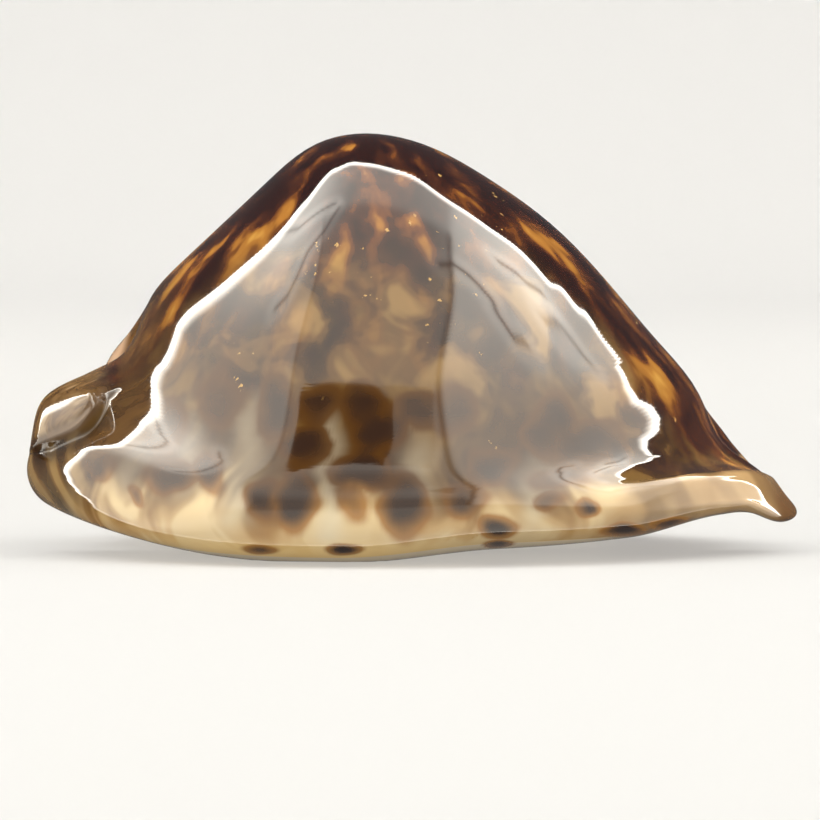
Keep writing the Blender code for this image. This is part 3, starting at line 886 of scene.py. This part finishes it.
def tent_material():
    """Light from the cloth itself, as bright as each point's glow."""
    material = bpy.data.materials.new("tent cloth")
    material.use_nodes = True
    tree = material.node_tree
    tree.nodes.remove(tree.nodes["Principled BSDF"])
    light = tree.nodes.new("ShaderNodeEmission")
    light.inputs["Color"].default_value = TENT_COLOUR
    read = tree.nodes.new("ShaderNodeAttribute")
    read.attribute_name = "glow"
    strength = tree.nodes.new("ShaderNodeMath")
    strength.operation = "MULTIPLY"
    strength.inputs[1].default_value = TENT_RADIANCE
    tree.links.new(read.outputs["Fac"], strength.inputs[0])
    tree.links.new(strength.outputs[0], light.inputs["Strength"])
    tree.links.new(light.outputs[0], tree.nodes["Material Output"].inputs["Surface"])
    material.cycles.emission_sampling = "NONE"
    return material


# Light and camera


def tent_edge(turn):
    """Angle from the tent's middle to its hem, all the way round, a little uneven."""
    places, angles = zip(*TENT_EDGE)
    edge = np.interp(turn, places, angles)
    t = np.radians(turn)
    return edge + 1.1 * np.sin(11 * t + 1.0) * np.sin(5 * t) + 0.3 * np.sin(29 * t + 2.0)


def wrinkle_shade(turn, polar):
    """How much of its light the cloth keeps: dark wrinkles with a bright band beside them."""
    kept = np.ones(np.broadcast(turn, polar).shape)
    across = np.sin(np.radians(80.0))
    for depth, *line in TENT_WRINKLES:
        nearest = np.full(kept.shape, 90.0)
        for (t0, p0), (t1, p1) in zip(line, line[1:]):
            dt, dp = (t1 - t0) * across, p1 - p0
            from_t, from_p = (turn - t0) * across, polar - p0
            along = np.clip((from_t * dt + from_p * dp) / (dt * dt + dp * dp), 0, 1)
            nearest = np.minimum(nearest, np.hypot(from_t - along * dt, from_p - along * dp))
        dark = depth * bell(nearest, 0.0, WRINKLE_WIDTH)
        kept *= 1 - dark + BAND_GAIN * bell(nearest, BAND_AWAY, BAND_WIDTH)
    return kept


def hem_glow(turn, within):
    """The bright hem, which is wider and brighter round the upper half of the tent."""
    upper = smooth_step(-25.0, 5.0, turn) + smooth_step(150.0, 178.0, -turn)
    wide = HEM_WIDTH + sum(gain * bell(turn, at, spread) for at, spread, gain in HEM_WIDENINGS)
    wide = LOWER_HEM_WIDTH + (wide - LOWER_HEM_WIDTH) * upper
    return (2.0 + 3.6 * upper) * (1 - smooth_step(0.15 * wide, wide, within))


def tent_glow(polar, edge, turn, x, height):
    """Brightness of the tent's cloth: a dim front strip between seams, and a bright hem."""
    front = (1 - smooth_step(80.0, 86.0, polar)) * smooth_step(4.0, 12.0, height)
    from_left = LEFT_SEAM[0] + x - 0.12 * smooth_step(33.0, 62.0, height)
    from_right = RIGHT_SEAM[0] - x + 0.12 * smooth_step(32.0, 56.0, height)
    between = smooth_step(-0.02, 0.03, from_left) * smooth_step(-0.02, 0.03, from_right)
    strip = between * front
    low_edge = 11.0 + 17.0 * between
    low = 1 - smooth_step(low_edge - 7.0, low_edge + 5.0, height)
    low *= smooth_step(-0.7, -0.5, x) * (1 - smooth_step(0.8, 0.95, x))
    right = smooth_step(-0.02, 0.03, -from_right) * smooth_step(30.0, 50.0, height)
    glow = 1 + 0.05 * (1 - strip) + 0.7 * right
    glow *= (1 - STRIP_DIMMED * strip) * (1 - LOW_DIMMED * low)
    for away, depth in ((from_left, LEFT_SEAM[1]), (from_right, RIGHT_SEAM[1])):
        glow *= 1 - depth * front * bell(away, 0.0, SEAM_WIDTH)
    within = edge - polar
    bright = sum(gain * bell(turn, at, spread) for at, spread, gain in HEM_LIGHTS)
    glow += bright * (1 - smooth_step(12.0, 40.0, within))
    return glow * wrinkle_shade(turn, polar) + hem_glow(turn, within)


def add_patch(name, outline, glow, material):
    """A patch hung just inside the tent, which only the shell's gloss shows."""
    azimuth, elevation = np.radians(np.array(outline)).T
    level = np.cos(elevation)
    ways = [level * np.sin(azimuth), -level * np.cos(azimuth), np.sin(elevation)]
    points = PATCH_RADIUS * np.stack(ways, axis=1) + TENT_CENTRE
    mesh = bpy.data.meshes.new(name)
    mesh.from_pydata(points.tolist(), [], [list(range(len(points)))])
    put_values(mesh, "glow", np.full(len(points), glow))
    mesh.materials.append(material)
    patch = add_object(name, mesh)
    patch.visible_camera = False


def add_tent():
    """A light tent round the front of the shell, open at the back."""
    turn = np.linspace(-180.0, 180.0, TENT_COLUMNS + 1)[None, :]
    edge = tent_edge(turn)
    body = np.linspace(0.0, HEM_BAND, TENT_ROWS[0], endpoint=False)
    share = np.concatenate([body, np.linspace(HEM_BAND, 1.0, TENT_ROWS[1])])
    polar = share[:, None] * edge
    p, t = np.radians(polar), np.radians(turn)
    x = np.sin(p) * np.cos(t)
    y = -np.cos(p) * np.ones_like(t)
    z = np.sin(p) * np.sin(t)
    points = np.stack([x, y, z], axis=2).reshape(-1, 3) * TENT_RADIUS + TENT_CENTRE
    r = np.arange(len(share) - 1)[:, None] * (TENT_COLUMNS + 1)
    c = np.arange(TENT_COLUMNS)
    below = r + c + TENT_COLUMNS + 1
    faces = np.stack([r + c, r + c + 1, below + 1, below], axis=2)
    mesh = bpy.data.meshes.new("light tent")
    mesh.from_pydata(points.tolist(), [], faces.reshape(-1, 4).tolist())
    glow = tent_glow(polar, edge, turn, x, np.degrees(np.arcsin(z)))
    put_values(mesh, "glow", glow.ravel())
    material = tent_material()
    mesh.materials.append(material)
    tent = add_object("light_tent", mesh)
    tent.visible_camera = False
    add_patch("lens_gap", LENS_GAP, LENS_GLOW, material)
    add_patch("gap_fold", GAP_FOLD, FOLD_GLOW, material)


def add_world():
    world = bpy.data.worlds.new("studio")
    bpy.context.scene.world = world
    world.use_nodes = True
    background = world.node_tree.nodes["Background"]
    background.inputs["Color"].default_value = WORLD_COLOUR
    background.inputs["Strength"].default_value = WORLD_RADIANCE


def add_floor():
    """A pale floor that sweeps up into a backdrop behind the shell."""
    half, reach, curve, top = 3.0, 0.45, 0.35, 2.0
    turn = np.radians(np.linspace(0.0, 90.0, 25))
    line = [(-half, 0.0)]
    line += [(reach + curve * math.sin(a), curve * (1 - math.cos(a))) for a in turn]
    line += [(reach + curve, top)]
    points = [(x, y, z) for y, z in line for x in (-half, half)]
    faces = [(2 * i, 2 * i + 1, 2 * i + 3, 2 * i + 2) for i in range(len(line) - 1)]
    mesh = bpy.data.meshes.new("floor")
    mesh.from_pydata(points, [], faces)
    mesh.shade_smooth()
    mesh.materials.append(floor_material())
    floor = add_object("floor", mesh)
    floor.location.z = -FLOOR_GAP
    floor.visible_glossy = False


def add_camera():
    """A long lens, so that the shell is seen nearly without perspective, as in the photo."""
    elevation = math.radians(CAMERA_ELEVATION)
    camera = bpy.data.cameras.new("camera")
    camera.sensor_width = SENSOR_WIDTH
    camera.lens = SENSOR_WIDTH * CAMERA_DISTANCE / VIEW_WIDTH
    camera.clip_start = 0.01
    thing = add_object("camera", camera)
    bpy.context.scene.camera = thing
    back = Vector((0, -math.cos(elevation), math.sin(elevation)))
    up = Vector((0, math.sin(elevation), math.cos(elevation)))
    aim = Vector((AIM_ACROSS, 0, 0)) + up * AIM_UP
    thing.location = aim + back * CAMERA_DISTANCE
    thing.rotation_euler = back.to_track_quat("Z", "Y").to_euler()


def add_shell():
    """The fine shell. Its marks are placed after it has settled, its growth before."""
    shapes = back_contours() + margin_contours() + base_contours() + hollow_contours()
    levels = row_levels(shapes)
    angles = ring_angles(RING_POINTS)
    grid = shell_grid(shapes, angles, levels)
    grown, down = growth_space(grid, angles)
    grid = raise_flange(raise_ear(add_teeth(grid, angles, levels, shapes)), levels)
    grid = settle(raise_callus(grid))
    spots, columns = mark_fields(grid, levels)
    features = {"grown": grown, "down": down, "spots": spots, "columns": columns}
    features.update(zone_fields(grid, levels))
    shell = add_object("shell_surface", grid_mesh("shell_surface", grid, features))
    shell.data.materials.append(shell_material())
    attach(shell, "root")
    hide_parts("shell")


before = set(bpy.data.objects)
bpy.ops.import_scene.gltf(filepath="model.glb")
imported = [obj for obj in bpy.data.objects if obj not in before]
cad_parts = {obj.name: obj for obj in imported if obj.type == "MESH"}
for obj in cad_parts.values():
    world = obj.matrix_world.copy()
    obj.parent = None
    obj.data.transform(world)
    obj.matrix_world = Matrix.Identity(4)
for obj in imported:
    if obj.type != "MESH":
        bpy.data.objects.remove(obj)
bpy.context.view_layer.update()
add_camera()
add_shell()
add_floor()
add_world()
add_tent()
bpy.context.scene.view_settings.view_transform = "Standard"
